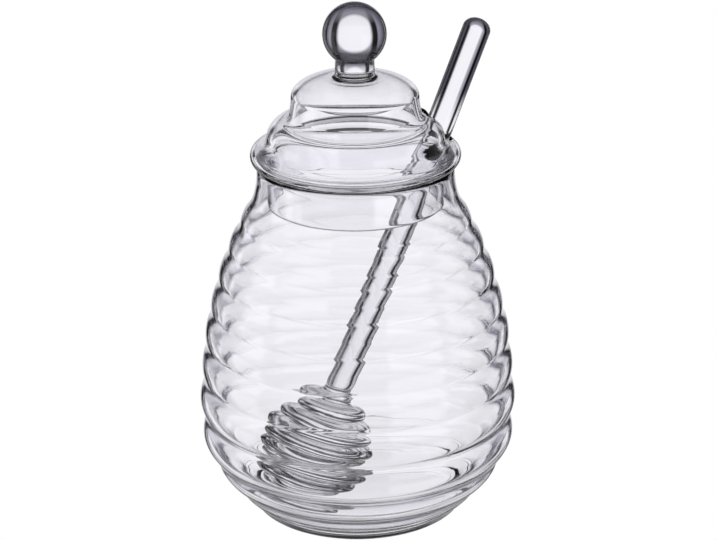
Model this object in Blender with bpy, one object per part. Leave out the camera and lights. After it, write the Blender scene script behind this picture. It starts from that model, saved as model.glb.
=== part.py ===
"""A beehive honey jar in clear glass, with its tiered lid and a glass dipper.

Metres, +Z up. The origin is the middle of the flat base, on the jar's own axis.
The jar and the lid are turned round that axis. The dipper stands on the floor of
the jar, leans on the rim and leaves through the hole in the back of the lid.
"""
import math

import bpy
from mathutils import Vector

MM = 0.001
GAP = 0.3               # mm kept between two pieces of glass that touch

# The jar, mm
WALL = 2.0
FLOOR = 2.2
RIM_HEIGHT = 111.2
RIM_OUTER = 29.7
RIM_INNER = 27.8
# Each groove between two ribs, from the neck down to the edge of the flat base:
# its radius, its height, and how far the rib under it swells past the straight line
GROOVES = [
    (31.7, 98.2, 0.9),
    (35.2, 90.8, 1.2),
    (38.8, 82.3, 1.3),
    (41.9, 72.9, 1.2),
    (44.5, 63.2, 1.4),
    (46.0, 52.8, 1.6),
    (46.8, 41.5, 2.4),
    (46.3, 29.8, 3.1),
    (44.2, 18.0, 2.0),
    (39.0, 10.2, 1.5),
    (33.8, 4.4, 1.2),
    (30.6, 0.0, 0.0),
]
HEEL = (33.6, 6.3)      # inside, where the lowest wall starts to turn in to the floor
HEEL_CORNER = (29.5, 2.2)
FLOOR_RADIUS = 25.0

# The lid, mm
KNOB_RADIUS = 9.5
KNOB_HEIGHT = 150.6
NECK_RADIUS = 5.9
NECK_FLARE = 1.2
DOME_TOP = 137.8
DOME_RADII = (12.2, 6.2)
DOME_RADIUS = 19.1
DOME_FOOT = (20.1, 124.75)
TIER_CENTRE = (20.8, 118.4)
TIER_RADII = (5.9, 6.3)
FLANGE_FOOT = (27.1, 117.2)
FLANGE_RADIUS = 31.6
FLANGE_HEIGHT = 113.8
COLLAR_OUTER = 26.3
COLLAR_BOTTOM = 98.6
LID_WALL = 1.7

# The hole for the dipper, cut aslant along the rod through collar, flange and lower tier
HOLE_RADIUS = 6.3
HOLE_ASIDE = -1.3       # how far it is set from the rod towards the jar's axis
HOLE_SPAN = (99.0, 142.0)

# The dipper, mm
DIPPER_TIP = (-18.87, -14.18, 6.4)
DIPPER_AZIMUTH = 25.9   # degrees from +X towards +Y
DIPPER_LEAN = 23.4      # degrees from upright
DIPPER_LENGTH = 158.0
ROD_RADIUS = 4.25
ROD_CAP = 3.4           # height of the rod's rounded end
RING_RADII = [11.0, 14.8, 17.5, 17.3, 15.8, 12.4]   # from the rod down to the tip
RING_PITCH = 5.6
RING_HALF_HEIGHT = 2.7
RING_GROOVE = 3.8       # how deep the grooves between the rings are
SHOULDER = 4.5

TURN_STEPS = 36
DIPPER_STEPS = 20


def arc(centre, radii, start, stop, steps):
    """Points of an ellipse's arc about centre; angles in degrees from +r towards +z."""
    points = []
    for i in range(steps + 1):
        angle = math.radians(start + (stop - start) * i / steps)
        points.append((centre[0] + radii[0] * math.cos(angle),
                       centre[1] + radii[1] * math.sin(angle)))
    return points


def swollen(start, stop, swell, steps):
    """Points after start, up to stop, on a shallow arc that swells away from the axis."""
    run, drop = stop[0] - start[0], stop[1] - start[1]
    length = math.hypot(run, drop)
    side = 1.0 if drop < 0.0 else -1.0
    points = []
    for i in range(1, steps + 1):
        along = i / steps
        out = side * 4.0 * swell * along * (1.0 - along) / length
        points.append((start[0] + run * along - drop * out,
                       start[1] + drop * along + run * out))
    return points


def rounded(start, corner, stop, steps):
    """Points that turn a corner smoothly, between start and stop and without them."""
    points = []
    for i in range(1, steps):
        t = i / steps
        points.append(tuple((1.0 - t) ** 2 * a + 2.0 * t * (1.0 - t) * b + t * t * c
                            for a, b, c in zip(start, corner, stop)))
    return points


def inset(points, depth):
    """A line of the outer side, moved into the glass by depth."""
    moved = []
    for i, (r, z) in enumerate(points):
        before, after = points[max(i - 1, 0)], points[min(i + 1, len(points) - 1)]
        run, drop = after[0] - before[0], after[1] - before[1]
        length = math.hypot(run, drop)
        moved.append((r + depth * drop / length, z - depth * run / length))
    return moved


def glass(name, colour, roughness):
    """Clear glass with a faint tint."""
    material = bpy.data.materials.new(name)
    material.use_nodes = True
    shader = material.node_tree.nodes["Principled BSDF"]
    shader.inputs["Base Color"].default_value = (*colour, 1.0)
    shader.inputs["Roughness"].default_value = roughness
    shader.inputs["Metallic"].default_value = 0.0
    shader.inputs["Transmission Weight"].default_value = 1.0
    return material


def turned(name, profile, steps, material):
    """An object turned about its Z axis from a profile that runs down its outer side."""
    mesh = bpy.data.meshes.new(name)
    corners = [(r * MM, 0.0, z * MM) for r, z in profile]
    edges = [(i, i + 1) for i in range(len(corners) - 1)]
    mesh.from_pydata(corners, edges, [])
    mesh.materials.append(material)
    thing = bpy.data.objects.new(name, mesh)
    bpy.context.scene.collection.objects.link(thing)
    screw = thing.modifiers.new("turning", 'SCREW')
    screw.steps = screw.render_steps = steps
    screw.use_merge_vertices = True
    screw.merge_threshold = 0.00001
    screw.use_smooth_shade = True
    return thing


def jar_profile():
    """From the middle of the inner floor, up inside, over the rim, and down to the base."""
    ribs = [GROOVES[0][:2]]
    for upper, lower in zip(GROOVES, GROOVES[1:]):
        ribs += swollen(upper[:2], lower[:2], upper[2], 4)
    inner = [point for point in inset(ribs, WALL) if point[1] > HEEL[1]]
    inner = inner + [HEEL] + rounded(HEEL, HEEL_CORNER, (FLOOR_RADIUS, FLOOR), 4)
    inner += [(FLOOR_RADIUS, FLOOR), (0.0, FLOOR)]
    inner.reverse()
    rim_radius = 0.5 * (RIM_OUTER - RIM_INNER)
    rim_centre = (RIM_OUTER - rim_radius, RIM_HEIGHT - rim_radius)
    inner += arc(rim_centre, (rim_radius, rim_radius), 180.0, 0.0, 6)
    neck = [(RIM_OUTER + 0.05, 107.0), (RIM_OUTER + 0.85, 102.6)]
    return inner + neck + ribs + [(0.0, 0.0)]


def lid_profile():
    """From the top of the knob, down over the tiers and collar, and up inside the dome."""
    neck_angle = -math.degrees(math.acos(NECK_RADIUS / KNOB_RADIUS))
    knob = arc((0.0, KNOB_HEIGHT), (KNOB_RADIUS, KNOB_RADIUS), 90.0, neck_angle, 10)
    knob[0] = (0.0, KNOB_HEIGHT + KNOB_RADIUS)
    flare_centre = (NECK_RADIUS + NECK_FLARE, DOME_TOP + NECK_FLARE)
    knob += arc(flare_centre, (NECK_FLARE, NECK_FLARE), 180.0, 262.0, 2)
    dome_centre = (DOME_RADIUS - DOME_RADII[0], DOME_TOP - DOME_RADII[1])
    shell = arc(dome_centre, DOME_RADII, 82.0, 0.0, 5)
    shell.append((DOME_RADIUS + 0.35, 128.0))
    shell += rounded((DOME_RADIUS + 0.6, 126.6), DOME_FOOT, (21.9, 124.6), 3)
    shell += arc(TIER_CENTRE, TIER_RADII, 75.0, 5.0, 4)
    shell += rounded((TIER_CENTRE[0] + TIER_RADII[0], TIER_CENTRE[1]), FLANGE_FOOT, (28.8, 116.3), 3)
    bottom = RIM_HEIGHT + GAP
    edge = FLANGE_HEIGHT - bottom
    shell += arc((FLANGE_RADIUS - edge, FLANGE_HEIGHT), (edge, edge), 70.0, -90.0, 5)
    shell += [(COLLAR_OUTER + 1.0, bottom), (COLLAR_OUTER, bottom - 1.0), (COLLAR_OUTER, 104.0)]
    hollow = inset(shell, LID_WALL)
    hollow.reverse()
    half = 0.5 * LID_WALL
    end = arc((COLLAR_OUTER - half, COLLAR_BOTTOM + half), (half, half), 0.0, -180.0, 4)
    return knob + shell + end + hollow + [(0.0, DOME_TOP - LID_WALL)]


def dipper_profile():
    """From the rounded top of the rod, down over the head's rings, to the tip."""
    top = DIPPER_LENGTH - ROD_CAP
    points = arc((0.0, top), (ROD_RADIUS, ROD_CAP), 90.0, 0.0, 4)
    points[0] = (0.0, DIPPER_LENGTH)
    head = RING_HALF_HEIGHT + RING_PITCH * (len(RING_RADII) - 1)
    points.append((ROD_RADIUS, head + RING_HALF_HEIGHT + SHOULDER))
    for number, radius in enumerate(RING_RADII):
        core = radius - RING_GROOVE
        height = head - RING_PITCH * number
        points += arc((core, height), (RING_GROOVE, RING_HALF_HEIGHT), 90.0, -90.0, 6)
    return points + [(0.0, 0.0)]


def cut_hole(lid):
    """The oval opening that lets the dipper out through the back of the lid."""
    lean, azimuth = math.radians(DIPPER_LEAN), math.radians(DIPPER_AZIMUTH)
    heading = Vector((math.sin(lean) * math.cos(azimuth), math.sin(lean) * math.sin(azimuth), math.cos(lean)))
    tip = Vector(DIPPER_TIP)
    start, stop = [tip + heading * ((z - tip.z) / heading.z) for z in HOLE_SPAN]
    crossing = tip + heading * ((FLANGE_HEIGHT - tip.z) / heading.z)
    aside = Vector((crossing.x, crossing.y, 0.0)).normalized() * HOLE_ASIDE
    outline = arc((0.0, 0.0), (HOLE_RADIUS, HOLE_RADIUS), 0.0, 360.0, 24)[:-1]
    count = len(outline)
    length = (stop - start).length
    corners = [(x, y, z) for z in (0.0, length) for x, y in outline]
    faces = [tuple(reversed(range(count))), tuple(range(count, 2 * count))]
    for i in range(count):
        j = (i + 1) % count
        faces.append((i, j, count + j, count + i))
    mesh = bpy.data.meshes.new("hole_cutter")
    mesh.from_pydata([Vector(corner) * MM for corner in corners], [], faces)
    cutter = bpy.data.objects.new("hole_cutter", mesh)
    bpy.context.scene.collection.objects.link(cutter)
    cutter.location = (start + aside) * MM
    cutter.rotation_euler = (0.0, lean, azimuth)
    cutter.hide_render = True
    cutter.display_type = 'WIRE'
    hole = lid.modifiers.new("hole", 'BOOLEAN')
    hole.operation = 'DIFFERENCE'
    hole.object = cutter


for thing in list(bpy.data.objects):
    bpy.data.objects.remove(thing, do_unlink=True)

clear_glass = glass("blown_clear_glass", (0.93, 0.93, 0.96), 0.02)
rod_glass = glass("drawn_clear_glass", (0.90, 0.90, 0.94), 0.02)

jar = turned("jar", jar_profile(), TURN_STEPS, clear_glass)
lid = turned("lid", lid_profile(), TURN_STEPS, clear_glass)
cut_hole(lid)
dipper = turned("dipper", dipper_profile(), DIPPER_STEPS, rod_glass)
dipper.location = Vector(DIPPER_TIP) * MM
dipper.rotation_euler = (0.0, math.radians(DIPPER_LEAN), math.radians(DIPPER_AZIMUTH))
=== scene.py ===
from math import acos, cos, degrees, hypot, pi, radians, sin

import bpy
from mathutils import Matrix


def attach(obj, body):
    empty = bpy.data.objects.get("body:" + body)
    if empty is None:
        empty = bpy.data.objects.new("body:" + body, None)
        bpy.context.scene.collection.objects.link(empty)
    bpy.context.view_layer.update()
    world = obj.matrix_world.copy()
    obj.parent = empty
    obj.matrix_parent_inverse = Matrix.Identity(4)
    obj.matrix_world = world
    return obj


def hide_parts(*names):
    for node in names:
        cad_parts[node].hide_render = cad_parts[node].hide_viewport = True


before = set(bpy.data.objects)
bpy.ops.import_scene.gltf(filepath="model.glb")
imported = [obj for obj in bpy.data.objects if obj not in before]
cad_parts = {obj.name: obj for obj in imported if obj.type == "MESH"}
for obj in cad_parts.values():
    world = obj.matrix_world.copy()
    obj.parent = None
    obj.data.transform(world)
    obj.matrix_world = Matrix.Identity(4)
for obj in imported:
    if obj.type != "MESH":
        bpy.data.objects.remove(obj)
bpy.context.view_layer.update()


# The studio. A long lens looks down a little on the jar from the front. It stands on a white
# sweep between tall white panels, with dark gaps between them, as clear glass is always lit:
# the panel behind shows through the body, and the gaps draw its edges dark.
MM = 0.001
CAMERA_DISTANCE = 650.0
CAMERA_RISE = 21.85
CAMERA_ASIDE = 0.43
CAMERA_ROLL = -0.5
AIM_HEIGHT = 76.27
LENS_LENGTH = 107.1
SENSOR_WIDTH = 36.0
NEAR_CLIP = 0.01
SWEEP_SIZE = 6.0
SWEEP_DROP = 0.2

# Each panel's bearing, half its width, and how far it fades out past that, in degrees.
PANELS = [(50.0, 5.5, 2.5), (90.0, 21.0, 4.0), (135.0, 11.0, 2.5), (180.0, 14.0, 2.5),
          (315.0, 22.0, 2.5)]
FADE_INSIDE = 2.5

# Brightness at heights in degrees over the horizon, on a panel and in the gaps. The sweep
# throws light up from below in both.
PANEL_LIGHT = [(-75.0, 0.55), (-58.0, 0.45), (-46.0, 0.85), (-24.5, 0.96), (-23.5, 1.0),
               (4.0, 1.0), (12.0, 0.3), (26.0, 0.25), (60.0, 0.1)]
GAP_LIGHT = [(-80.0, 0.85), (-60.0, 0.65), (-42.0, 0.55), (-33.0, 0.3), (-27.0, 0.04),
             (20.0, 0.03), (50.0, 0.1), (68.0, 0.45)]


def colour(text):
    """Turn an sRGB hex colour into linear red, green, blue and a full alpha."""
    parts = [int(text[place:place + 2], 16) / 255.0 for place in (1, 3, 5)]
    return [part / 12.92 if part <= 0.04045 else ((part + 0.055) / 1.055) ** 2.4
            for part in parts] + [1.0]


def grey(value):
    """A grey of the studio's light, very slightly violet."""
    return [value, value * 0.99, value * 1.025, 1.0]


def tints(*stops):
    """Ramp stops, from pairs of a place on the ramp and an sRGB hex colour."""
    return [(place, colour(text)) for place, text in stops]


def lights(stops):
    """Ramp stops, from pairs of a height in degrees over the horizon and a brightness."""
    return [((angle + 90.0) / 180.0, grey(value)) for angle, value in stops]


def add(tree, kind, inputs=(), stops=(), **settings):
    """Add a node with its settings, its ramp stops, and its values or links by socket."""
    made = tree.nodes.new(kind)
    for name, value in settings.items():
        setattr(made, name, value)
    for place, (where, shade) in enumerate(stops):
        marks = made.color_ramp.elements
        mark = marks[place] if place < 2 else marks.new(where)
        mark.position, mark.color = where, shade
    for socket, value in dict(inputs).items():
        if isinstance(value, bpy.types.NodeSocket):
            tree.links.new(value, made.inputs[socket])
        else:
            made.inputs[socket].default_value = value
    return made


def maths(tree, operation, *values):
    """Add a maths node, and give what comes out of it."""
    return add(tree, 'ShaderNodeMath', enumerate(values), operation=operation).outputs[0]


bpy.ops.object.select_all(action='DESELECT')
rise = radians(CAMERA_RISE)
turn = Matrix.Rotation(pi / 2 - rise, 3, 'X') @ Matrix.Rotation(radians(CAMERA_ROLL), 3, 'Z')
bpy.ops.object.camera_add(
    location=(CAMERA_ASIDE * MM, -CAMERA_DISTANCE * cos(rise) * MM,
              (AIM_HEIGHT + CAMERA_DISTANCE * sin(rise)) * MM),
    rotation=turn.to_euler())
camera = bpy.context.object
camera.data.sensor_width = SENSOR_WIDTH
camera.data.lens = LENS_LENGTH
camera.data.clip_start = NEAR_CLIP
bpy.context.scene.camera = camera
bpy.context.scene.view_settings.view_transform = 'Standard'

studio = bpy.data.worlds.new("studio")
bpy.context.scene.world = studio
studio.use_nodes = True
tree = studio.node_tree
tree.nodes.clear()
direction = add(tree, 'ShaderNodeTexCoord').outputs['Generated']
parts = add(tree, 'ShaderNodeSeparateXYZ', {'Vector': direction}).outputs
bearing = maths(tree, 'ARCTAN2', parts['Y'], parts['X'])
height = maths(tree, 'ARCSINE', parts['Z'])
panels = None
for middle, half, fade in PANELS:
    near = maths(tree, 'COSINE', maths(tree, 'SUBTRACT', bearing, radians(middle)))
    lit = add(tree, 'ShaderNodeMapRange',
              {'Value': near, 'From Min': cos(radians(half + fade)),
               'From Max': cos(radians(half - FADE_INSIDE)), 'To Min': 0.0, 'To Max': 1.0},
              interpolation_type='SMOOTHSTEP').outputs['Result']
    panels = lit if panels is None else maths(tree, 'MAXIMUM', panels, lit)
level = add(tree, 'ShaderNodeMapRange',
            {'Value': height, 'From Min': -pi / 2, 'From Max': pi / 2,
             'To Min': 0.0, 'To Max': 1.0}).outputs['Result']
on_panel = add(tree, 'ShaderNodeValToRGB', {'Fac': level}, stops=lights(PANEL_LIGHT))
in_gap = add(tree, 'ShaderNodeValToRGB', {'Fac': level}, stops=lights(GAP_LIGHT))
around = add(tree, 'ShaderNodeMix',
             {0: panels, 6: in_gap.outputs['Color'], 7: on_panel.outputs['Color']},
             data_type='RGBA')
glow = add(tree, 'ShaderNodeBackground', {'Color': around.outputs[2], 'Strength': 1.0})
plain = add(tree, 'ShaderNodeBackground', {'Color': colour("#FFFFFF"), 'Strength': 1.0})
seen = add(tree, 'ShaderNodeLightPath').outputs['Is Camera Ray']
world = add(tree, 'ShaderNodeMixShader', {0: seen, 1: glow.outputs[0], 2: plain.outputs[0]})
add(tree, 'ShaderNodeOutputWorld', {'Surface': world.outputs[0]})

bpy.ops.mesh.primitive_plane_add(size=SWEEP_SIZE, location=(0.0, 0.0, -SWEEP_DROP * MM))
floor = bpy.context.object
floor.name = "white_sweep"
floor.visible_transmission = False
floor.visible_glossy = False
paper = bpy.data.materials.new("lit_white_paper")
paper.use_nodes = True
tree = paper.node_tree
tree.nodes.clear()
glow = add(tree, 'ShaderNodeEmission', {'Color': colour("#FFFFFF"), 'Strength': 1.0})
add(tree, 'ShaderNodeOutputMaterial', {'Surface': glow.outputs[0]})
floor.data.materials.append(paper)


# The jar. A round body of clear borosilicate glass in the shape of a straw beehive: eleven
# swollen coils, wide below and drawn in to an open mouth. The wall is 2 mm thick and follows
# the coils inside, down to a flat bottom that is hardly thicker.
WALL = 2.0
FLOOR = 2.2
RIM_HEIGHT = 111.2
RIM_OUTER = 29.7
RIM_INNER = 27.8
RIM_FOOT = 109.2
NECK_BEND = (29.75, 104.6)
NECK_FOOT = (31.0, 100.6)
GROOVE_REACH = 2.6
BASE_EDGE = (31.45, 1.2)
BASE_RADIUS = 30.6
BASE_RINGS = [28.6, 25.0, 21.0, 17.0, 12.0, 8.0, 4.0, 0.0]
HEEL = (33.6, 6.3)
HEEL_CORNER = (29.5, 2.2)
FLOOR_RADIUS = 25.0
FLOOR_RINGS = [0.0, 4.0, 8.0, 12.0, 16.0, 20.0, FLOOR_RADIUS]
TURN_STEPS = 192
MERGE_DISTANCE = 0.004

# Each groove's radius and height, and how far the coil under it swells. The last is the base.
GROOVES = [(31.7, 98.2, 0.9), (35.2, 90.8, 1.2), (38.8, 82.3, 1.3), (41.9, 72.9, 1.2),
           (44.5, 63.2, 1.4), (46.0, 52.8, 1.6), (46.8, 41.5, 2.4), (46.3, 29.8, 3.1),
           (44.2, 18.0, 2.0), (39.0, 10.2, 1.5), (33.8, 4.4, 1.2), (BASE_RADIUS, 0.0, 0.0)]


def arc(centre, radii, start, stop, steps):
    """Points on an arc of an ellipse, with angles in degrees from outwards towards up."""
    angles = [radians(start + (stop - start) * step / steps) for step in range(steps + 1)]
    return [(centre[0] + radii[0] * cos(angle), centre[1] + radii[1] * sin(angle))
            for angle in angles]


def coil(start, stop, swell, reach, steps):
    """Points on the swollen side of one coil, cut off short of both of its grooves."""
    run, drop = stop[0] - start[0], stop[1] - start[1]
    length = hypot(run, drop)
    side = 1.0 if drop < 0.0 else -1.0
    points = []
    for step in range(steps + 1):
        along = reach / length + (1.0 - 2.0 * reach / length) * step / steps
        out = side * 4.0 * swell * along * (1.0 - along) / length
        points.append((start[0] + run * along - drop * out, start[1] + drop * along + run * out))
    return points


def softened(start, corner, stop, steps):
    """Points between a start and a stop on a curve that a corner pulls towards itself."""
    points = []
    for step in range(1, steps):
        t = step / steps
        points.append(tuple((1 - t) ** 2 * a + 2 * t * (1 - t) * b + t ** 2 * c
                            for a, b, c in zip(start, corner, stop)))
    return points


def coils(start, marks, swells, reach, steps, groove_steps):
    """Points down a row of coils with round grooves, from a start above the first groove."""
    points = [start]
    for place, swell in enumerate(swells):
        side = coil(marks[place], marks[place + 1], swell, reach, steps)
        points += softened(points[-1], marks[place], side[0], groove_steps) + side
    return points + [marks[-1]]


def inset(points, depth):
    """The same line moved into the glass by a depth, as the inner side of a wall."""
    moved = []
    for place, (radius, z) in enumerate(points):
        before, after = points[max(place - 1, 0)], points[min(place + 1, len(points) - 1)]
        run, drop = after[0] - before[0], after[1] - before[1]
        length = hypot(run, drop)
        moved.append((radius + depth * drop / length, z - depth * run / length))
    return moved


def turned(name, outline, steps):
    """Draw an outline as a chain of edges, and spin it round the upright axis into a solid."""
    bpy.ops.object.select_all(action='DESELECT')
    bpy.ops.mesh.primitive_plane_add(size=MM, location=(0.0, 0.0, 0.0))
    piece = bpy.context.object
    piece.name = name
    bpy.ops.object.mode_set(mode='EDIT')
    bpy.ops.mesh.select_all(action='SELECT')
    bpy.ops.mesh.merge(type='CENTER')
    place = (0.0, 0.0)
    for index, (radius, z) in enumerate(outline):
        step = ((radius - place[0]) * MM, 0.0, (z - place[1]) * MM)
        if index:
            bpy.ops.mesh.extrude_region_move(TRANSFORM_OT_translate={"value": step})
        else:
            bpy.ops.transform.translate(value=step)
        place = (radius, z)
    bpy.ops.mesh.select_all(action='SELECT')
    bpy.ops.mesh.spin(steps=steps, angle=2 * pi, center=(0.0, 0.0, 0.0), axis=(0.0, 0.0, 1.0))
    bpy.ops.mesh.select_all(action='SELECT')
    bpy.ops.mesh.remove_doubles(threshold=MERGE_DISTANCE * MM)
    bpy.ops.mesh.normals_make_consistent(inside=False)
    bpy.ops.object.mode_set(mode='OBJECT')
    bpy.ops.object.shade_smooth()
    return piece


grooves = [groove[:2] for groove in GROOVES]
swells = [groove[2] for groove in GROOVES[:-1]]
wall_line = [(RIM_OUTER, RIM_FOOT)]
wall_line += softened((RIM_OUTER, RIM_FOOT), NECK_BEND, NECK_FOOT, steps=10)
wall_line += coils(NECK_FOOT, grooves, swells, GROOVE_REACH, steps=10, groove_steps=10)
hollow_line = [point for point in inset(wall_line, WALL) if point[1] > HEEL[1]] + [HEEL]
hollow_line += softened(HEEL, HEEL_CORNER, (FLOOR_RADIUS, FLOOR), steps=14)
round_rim = (RIM_OUTER - RIM_INNER) / 2.0
jar_outline = [(radius, FLOOR) for radius in FLOOR_RINGS]
jar_outline += list(reversed(hollow_line))
jar_outline += arc((RIM_OUTER - round_rim, RIM_HEIGHT - round_rim), (round_rim, round_rim),
                   180.0, 0.0, steps=12)
jar_outline += wall_line[:-1] + [BASE_EDGE]
jar_outline += softened(BASE_EDGE, (BASE_RADIUS, 0.0), (BASE_RINGS[0], 0.0), steps=10)
jar_outline += [(radius, 0.0) for radius in BASE_RINGS]
jar = turned("jar_glass", jar_outline, TURN_STEPS)

GLASS_IOR = 1.473
WAVE_SCALE = (45.0, 45.0, 130.0)
WAVE_STRENGTH = 0.6
WAVE_DEPTH = 0.6


def clear_glass(name):
    """A smooth clear glass: the material, its tree, its shader, and how far it faces aside."""
    made = bpy.data.materials.new(name)
    made.use_nodes = True
    shader = made.node_tree.nodes['Principled BSDF']
    shader.inputs['Roughness'].default_value = 0.0
    shader.inputs['IOR'].default_value = GLASS_IOR
    shader.inputs['Transmission Weight'].default_value = 1.0
    aside = add(made.node_tree, 'ShaderNodeLayerWeight', {'Blend': 0.5}).outputs['Facing']
    return made, made.node_tree, shader, aside


# Blown borosilicate glass, as clear as water on the flat and faintly violet, with a
# fire-polished surface that waves a little along the coils. Its edges are painted dark: a
# ramp on how far the surface faces aside darkens its colour at grazing angles, as painted
# shade for the dark outlines of clear glass.
blown, tree, glass, side = clear_glass("blown_borosilicate_glass")
painted_edge_shade = add(tree, 'ShaderNodeValToRGB', {'Fac': side}, stops=tints(
    (0.0, "#FEFEFF"), (0.54, "#FEFEFF"), (0.64, "#E8E7EE"), (0.71, "#B0AEB8"),
    (0.77, "#64616E"), (0.84, "#2E2B37"), (1.0, "#5A5864")))
tree.links.new(painted_edge_shade.outputs['Color'], glass.inputs['Base Color'])
place = add(tree, 'ShaderNodeTexCoord').outputs['Object']
drawn_out = add(tree, 'ShaderNodeMapping', {'Vector': place, 'Scale': WAVE_SCALE}).outputs[0]
waves = add(tree, 'ShaderNodeTexNoise',
            {'Vector': drawn_out, 'Scale': 1.0, 'Detail': 1.0}).outputs[0]
bent = add(tree, 'ShaderNodeBump',
           {'Height': waves, 'Strength': WAVE_STRENGTH, 'Distance': WAVE_DEPTH * MM})
tree.links.new(bent.outputs['Normal'], glass.inputs['Normal'])
jar.data.materials.append(blown)
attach(jar, "root")
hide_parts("jar")


# The lid. Clear glass blown in one piece: a solid round knob on a short neck, a dome, a flat
# tier, a rolled flange that covers the rim, and a straight collar that drops into the mouth.
# A round hole, drilled aslant through its back right, lets the dipper out.
KNOB_RADIUS = 9.5
KNOB_HEIGHT = 150.6
NECK_RADIUS = 5.9
NECK_FLARE = 1.2
DOME_TOP = 137.8
DOME_RADII = (12.2, 6.2)
DOME_RADIUS = 19.1
DOME_SIDE = [(19.2, 130.0), (19.4, 128.6)]
DOME_FOOT = (19.6, 127.2)
TIER_CORNER = (20.0, 124.8)
TIER_TOP = (21.8, 124.6)
TIER_CENTRE = (20.8, 118.4)
TIER_RADII = (5.9, 6.3)
FLANGE_FOOT = (27.1, 117.2)
FLANGE_TOP = (28.6, 116.35)
FLANGE_RADIUS = 31.6
FLANGE_HEIGHT = 113.8
LID_WALL = 1.7
COLLAR_OUTER = 26.3
COLLAR_BEND = 1.6
COLLAR_RINGS = [109.0, 107.0, 105.0, 103.0, 101.0]
COLLAR_BOTTOM = 98.6
RIM_GAP = 0.3
CEILING_RADIUS = 4.0
HOLE_RADIUS = 6.3
HOLE_MIDDLE = (24.251, 7.034, 120.5)
HOLE_LENGTH = 46.85
HOLE_LEAN = 23.4
HOLE_AZIMUTH = 25.9
HOLE_SIDES = 96


def lid_line():
    """The lid's outline from the knob's top, down its outer side, and back up inside it."""
    knob_foot = degrees(acos(NECK_RADIUS / KNOB_RADIUS))
    knob = arc((0.0, KNOB_HEIGHT), (KNOB_RADIUS, KNOB_RADIUS), 90.0, -knob_foot, steps=60)
    knob += arc((NECK_RADIUS + NECK_FLARE, DOME_TOP + NECK_FLARE), (NECK_FLARE, NECK_FLARE),
                180.0, 262.0, steps=8)
    dome = (DOME_RADIUS - DOME_RADII[0], DOME_TOP - DOME_RADII[1])
    shell = arc(dome, DOME_RADII, 82.0, 0.0, steps=24) + DOME_SIDE
    shell += softened(DOME_FOOT, TIER_CORNER, TIER_TOP, steps=10)
    shell += arc(TIER_CENTRE, TIER_RADII, 78.0, 8.0, steps=22)
    tier_foot = (TIER_CENTRE[0] + TIER_RADII[0], TIER_CENTRE[1])
    shell += softened(tier_foot, FLANGE_FOOT, FLANGE_TOP, steps=8)
    bottom = RIM_HEIGHT + RIM_GAP
    edge = FLANGE_HEIGHT - bottom
    shell += arc((FLANGE_RADIUS - edge, FLANGE_HEIGHT), (edge, edge), 75.0, -90.0, steps=20)
    shell += softened((COLLAR_OUTER + COLLAR_BEND, bottom), (COLLAR_OUTER, bottom),
                      (COLLAR_OUTER, bottom - COLLAR_BEND), steps=8)
    shell += [(COLLAR_OUTER, z) for z in COLLAR_RINGS]
    half = LID_WALL / 2.0
    rim = arc((COLLAR_OUTER - half, COLLAR_BOTTOM + half), (half, half), 0.0, -180.0, steps=12)
    hollow = list(reversed(inset(shell, LID_WALL)))
    ceiling = [(radius, DOME_TOP - LID_WALL) for radius in (CEILING_RADIUS, 0.0)]
    return knob + shell + rim + hollow + ceiling


lid = turned("lid_glass", lid_line(), TURN_STEPS)

bpy.ops.mesh.primitive_cylinder_add(vertices=HOLE_SIDES, radius=HOLE_RADIUS * MM,
                                    depth=HOLE_LENGTH * MM)
hole = bpy.context.object
hole.location = [value * MM for value in HOLE_MIDDLE]
hole.rotation_euler = (0.0, radians(HOLE_LEAN), radians(HOLE_AZIMUTH))
bpy.ops.object.transform_apply(location=True, rotation=True, scale=True)
bpy.ops.object.select_all(action='DESELECT')
bpy.context.view_layer.objects.active = lid
lid.select_set(True)
cut = lid.modifiers.new("hole", 'BOOLEAN')
cut.operation, cut.object, cut.solver = 'DIFFERENCE', hole, 'EXACT'
bpy.ops.object.modifier_apply(modifier="hole")
bpy.data.objects.remove(hole)
bpy.ops.object.shade_smooth()

# The same glass, with painted shade at its edges: a ramp on how far the surface faces aside
# darkens the thin walls a little at grazing angles, less than on the knob. The knob is solid
# and bends light like a lens. Its sides are painted dark, so only its middle shows the white
# behind it, in a dark round.
KNOB_FADE = (139.5, 142.5)
pressed, tree, glass, side = clear_glass("solid_knob_and_thin_glass")
# Painted shade: the thin walls go a little darker at grazing angles.
thin = add(tree, 'ShaderNodeValToRGB', {'Fac': side}, stops=tints(
    (0.0, "#FDFDFF"), (0.64, "#FDFDFF"), (0.73, "#E8E7EE"), (0.81, "#9C99A6"),
    (0.90, "#5E5B68"), (1.0, "#A9A7B2")))
# Painted shade: the knob's sides go dark around its clear middle.
solid = add(tree, 'ShaderNodeValToRGB', {'Fac': side}, stops=tints(
    (0.0, "#FBFBFE"), (0.15, "#F4F4F8"), (0.21, "#62606C"), (0.50, "#3E3B47"),
    (0.80, "#2E2B36"), (1.0, "#6A6773")))
place = add(tree, 'ShaderNodeTexCoord').outputs['Object']
up = add(tree, 'ShaderNodeSeparateXYZ', {'Vector': place}).outputs['Z']
in_knob = add(tree, 'ShaderNodeMapRange',
              {'Value': up, 'From Min': KNOB_FADE[0] * MM, 'From Max': KNOB_FADE[1] * MM})
tone = add(tree, 'ShaderNodeMix',
           {0: in_knob.outputs['Result'], 6: thin.outputs['Color'], 7: solid.outputs['Color']},
           data_type='RGBA')
tree.links.new(tone.outputs[2], glass.inputs['Base Color'])
lid.data.materials.append(pressed)
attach(lid, "root")
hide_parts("lid")


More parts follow.
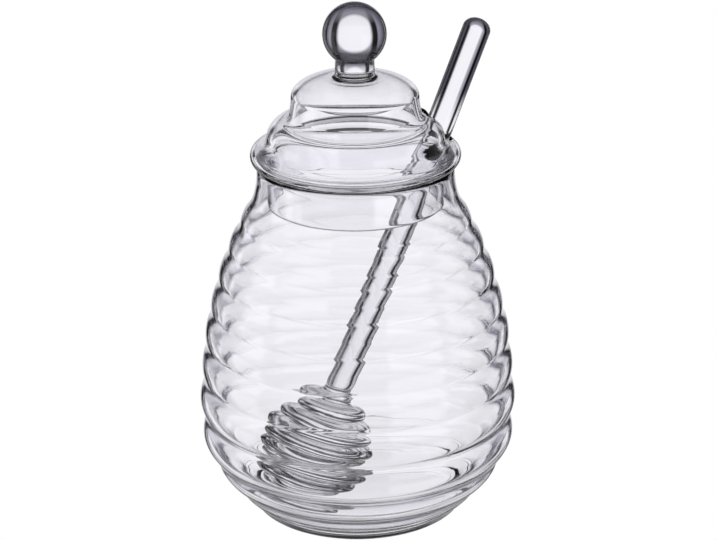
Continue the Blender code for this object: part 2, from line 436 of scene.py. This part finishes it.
# The honey dipper. A rod of clear glass, drawn and fire-polished, with a round top and six
# fat rings shaped at its foot. It stands on the jar's bottom, leans out through the hole,
# and is loose.
DIPPER_TIP = (-18.87, -14.18, 6.4)
DIPPER_AZIMUTH = 25.9
DIPPER_LEAN = 23.4
DIPPER_LENGTH = 158.0
ROD_RADIUS = 4.25
ROD_CAP = 3.4
ROD_RINGS = 30
RING_RADII = [11.0, 14.8, 17.5, 17.3, 15.8, 12.4]
RING_PITCH = 5.6
RING_HALF_HEIGHT = 2.7
RING_GROOVE = 3.8
RING_ARC = 68.0
RING_GROOVE_BOTTOM = (1.0, 0.4)
SHOULDER = 4.5
TIP_RADIUS = 5.0
TIP_BEND = 2.5
DIPPER_TURN_STEPS = 128

head = RING_HALF_HEIGHT + RING_PITCH * (len(RING_RADII) - 1)
top = DIPPER_LENGTH - ROD_CAP
foot = head + RING_HALF_HEIGHT + SHOULDER
dipper_outline = arc((0.0, top), (ROD_RADIUS, ROD_CAP), 90.0, 0.0, steps=14)
dipper_outline += [(ROD_RADIUS, top + (foot - top) * step / ROD_RINGS)
                   for step in range(1, ROD_RINGS + 1)]
for place, ring in enumerate(RING_RADII):
    lobe = arc((ring - RING_GROOVE, head - RING_PITCH * place), (RING_GROOVE, RING_HALF_HEIGHT),
               RING_ARC, -RING_ARC, steps=16)
    last = dipper_outline[-1]
    bottom = (min(last[0], lobe[0][0]) - RING_GROOVE_BOTTOM[0],
              lobe[0][1] + RING_GROOVE_BOTTOM[1])
    dipper_outline += softened(last, bottom, lobe[0], steps=6) + lobe
last = dipper_outline[-1]
dipper_outline += softened(last, (last[0] - TIP_BEND, 0.0), (TIP_RADIUS, 0.0), steps=6)
dipper_outline += [(TIP_RADIUS, 0.0), (0.0, 0.0)]
dipper = turned("dipper_glass", dipper_outline, DIPPER_TURN_STEPS)
dipper.location = [value * MM for value in DIPPER_TIP]
dipper.rotation_euler = (0.0, radians(DIPPER_LEAN), radians(DIPPER_AZIMUTH))
bpy.ops.object.transform_apply(location=True, rotation=True, scale=True)

# Drawn borosilicate rod: solid, so it bends light far more than the walls. Its bright middle
# between two dark sides is painted: a ramp on how far the surface faces aside paints shade on
# the sides. The painted shade is darkest above the lid and paler in the jar. It is left out in
# the rings and where the rod stands behind the collar.
PAINTED_SHADE_BY_HEIGHT = [(26.0, 0.0), (38.0, 0.45), (52.0, 0.65), (96.0, 0.65), (106.0, 0.0),
                   (122.0, 0.0), (130.0, 1.0)]
HEIGHT_SPAN = 200.0
drawn, tree, glass, side = clear_glass("drawn_borosilicate_rod")
# Painted shade on the rod's two sides, set by how far the surface faces aside.
shade = add(tree, 'ShaderNodeValToRGB', {'Fac': side}, stops=tints(
    (0.0, "#FCFCFE"), (0.07, "#F6F6FA"), (0.12, "#6A6773"), (0.30, "#35323F"),
    (0.62, "#4E4B57"), (0.85, "#8A8794")))
place = add(tree, 'ShaderNodeTexCoord').outputs['Object']
up = add(tree, 'ShaderNodeSeparateXYZ', {'Vector': place}).outputs['Z']
# How much of the painted side shade shows at each height.
rod_painted_shade_amount = add(tree, 'ShaderNodeValToRGB',
             {'Fac': maths(tree, 'MULTIPLY', up, 1.0 / (HEIGHT_SPAN * MM))},
             stops=[(z / HEIGHT_SPAN, grey(amount)) for z, amount in PAINTED_SHADE_BY_HEIGHT])
tone = add(tree, 'ShaderNodeMix',
           {0: rod_painted_shade_amount.outputs['Color'], 6: colour("#FCFCFE"), 7: shade.outputs['Color']},
           data_type='RGBA')
tree.links.new(tone.outputs[2], glass.inputs['Base Color'])
dipper.data.materials.append(drawn)
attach(dipper, "root")
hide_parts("dipper")
